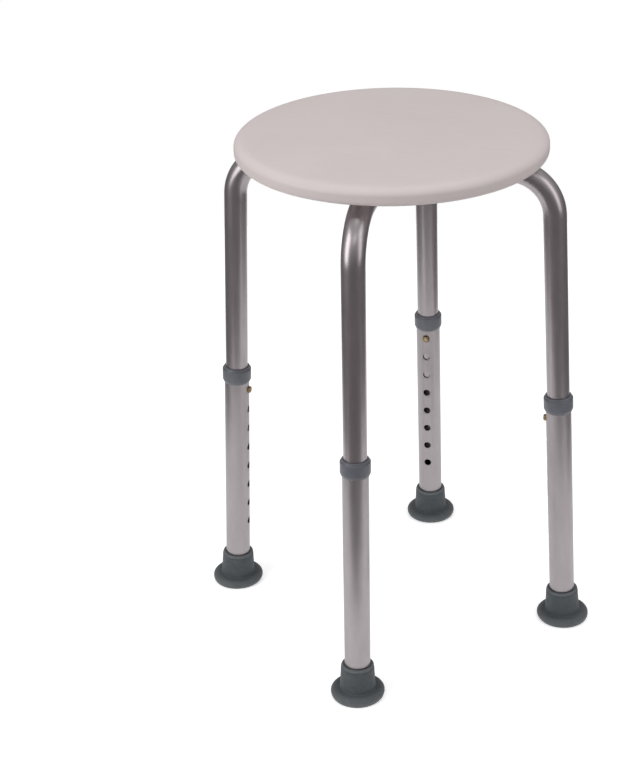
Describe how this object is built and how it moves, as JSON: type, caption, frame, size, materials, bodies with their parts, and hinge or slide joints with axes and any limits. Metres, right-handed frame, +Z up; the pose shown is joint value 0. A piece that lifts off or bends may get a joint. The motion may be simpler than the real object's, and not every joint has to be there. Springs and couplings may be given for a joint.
{
  "type": "shower stool",
  "caption": "Backless round shower stool: a flat moulded seat on splayed aluminium legs that telescope and lock with spring buttons, standing on wide rubber feet.",
  "frame": {"origin": "on the floor, under the centre of the seat, with the legs at full height", "axes": "+Z up, +X towards the right leg, -Y towards the front leg"},
  "size_m": [0.4594, 0.4594, 0.588],
  "materials": {
    "seat_plastic": "satin, faintly grained moulded polyethylene, pale warm grey",
    "upper_aluminium": "satin anodised, drawn tube",
    "lower_aluminium": "matt anodised, drawn tube",
    "collar_plastic": "satin mid grey",
    "foot_rubber": "matt dark blue-grey",
    "steel": "zinc plated",
    "button_brass": "worn brass plating"
  },
  "bodies": {
    "frame": {"seat": "seat_plastic", "frame_tube_left_right": "upper_aluminium", "frame_tube_front_back": "upper_aluminium", "centre_bolt": "steel", "centre_washer": "steel", "centre_nut": "steel", "seat_screw_right": "steel", "screw_cup_right": "collar_plastic", "button_spring_right": "steel", "seat_screw_back": "steel", "screw_cup_back": "collar_plastic", "button_spring_back": "steel", "seat_screw_left": "steel", "screw_cup_left": "collar_plastic", "button_spring_left": "steel", "seat_screw_front": "steel", "screw_cup_front": "collar_plastic", "button_spring_front": "steel"},
    "leg_right": {"lower_tube_right": "lower_aluminium", "collar_right": "collar_plastic", "foot_right": "foot_rubber", "foot_washer_right": "steel"},
    "button_right": {"snap_button_right": "button_brass"},
    "leg_back": {"lower_tube_back": "lower_aluminium", "collar_back": "collar_plastic", "foot_back": "foot_rubber", "foot_washer_back": "steel"},
    "button_back": {"snap_button_back": "button_brass"},
    "leg_left": {"lower_tube_left": "lower_aluminium", "collar_left": "collar_plastic", "foot_left": "foot_rubber", "foot_washer_left": "steel"},
    "button_left": {"snap_button_left": "button_brass"},
    "leg_front": {"lower_tube_front": "lower_aluminium", "collar_front": "collar_plastic", "foot_front": "foot_rubber", "foot_washer_front": "steel"},
    "button_front": {"snap_button_front": "button_brass"}
  },
  "joints": [
    {"name": "leg_right_slide", "type": "slide", "parent": "frame", "child": "leg_right", "axis": [-0.0436, 0, 0.999], "range_m": [0, 0.1778], "deforming": ["snap_button_right"]},
    {"name": "button_right_press", "type": "slide", "parent": "frame", "child": "button_right", "axis": [0.999, 0, 0.0436], "range_m": [0, 0.0046], "stiffness_N_per_m": 1200, "springref_m": -0.003, "deforming": ["button_spring_right"]},
    {"name": "leg_back_slide", "type": "slide", "parent": "frame", "child": "leg_back", "axis": [0, -0.0436, 0.999], "range_m": [0, 0.1778], "deforming": ["snap_button_back"]},
    {"name": "button_back_press", "type": "slide", "parent": "frame", "child": "button_back", "axis": [0, 0.999, 0.0436], "range_m": [0, 0.0046], "stiffness_N_per_m": 1200, "springref_m": -0.003, "deforming": ["button_spring_back"]},
    {"name": "leg_left_slide", "type": "slide", "parent": "frame", "child": "leg_left", "axis": [0.0436, 0, 0.999], "range_m": [0, 0.1778], "deforming": ["snap_button_left"]},
    {"name": "button_left_press", "type": "slide", "parent": "frame", "child": "button_left", "axis": [-0.999, 0, 0.0436], "range_m": [0, 0.0046], "stiffness_N_per_m": 1200, "springref_m": -0.003, "deforming": ["button_spring_left"]},
    {"name": "leg_front_slide", "type": "slide", "parent": "frame", "child": "leg_front", "axis": [0, 0.0436, 0.999], "range_m": [0, 0.1778], "deforming": ["snap_button_front"]},
    {"name": "button_front_press", "type": "slide", "parent": "frame", "child": "button_front", "axis": [0, -0.999, 0.0436], "range_m": [0, 0.0046], "stiffness_N_per_m": 1200, "springref_m": -0.003, "deforming": ["button_spring_front"]}
  ]
}
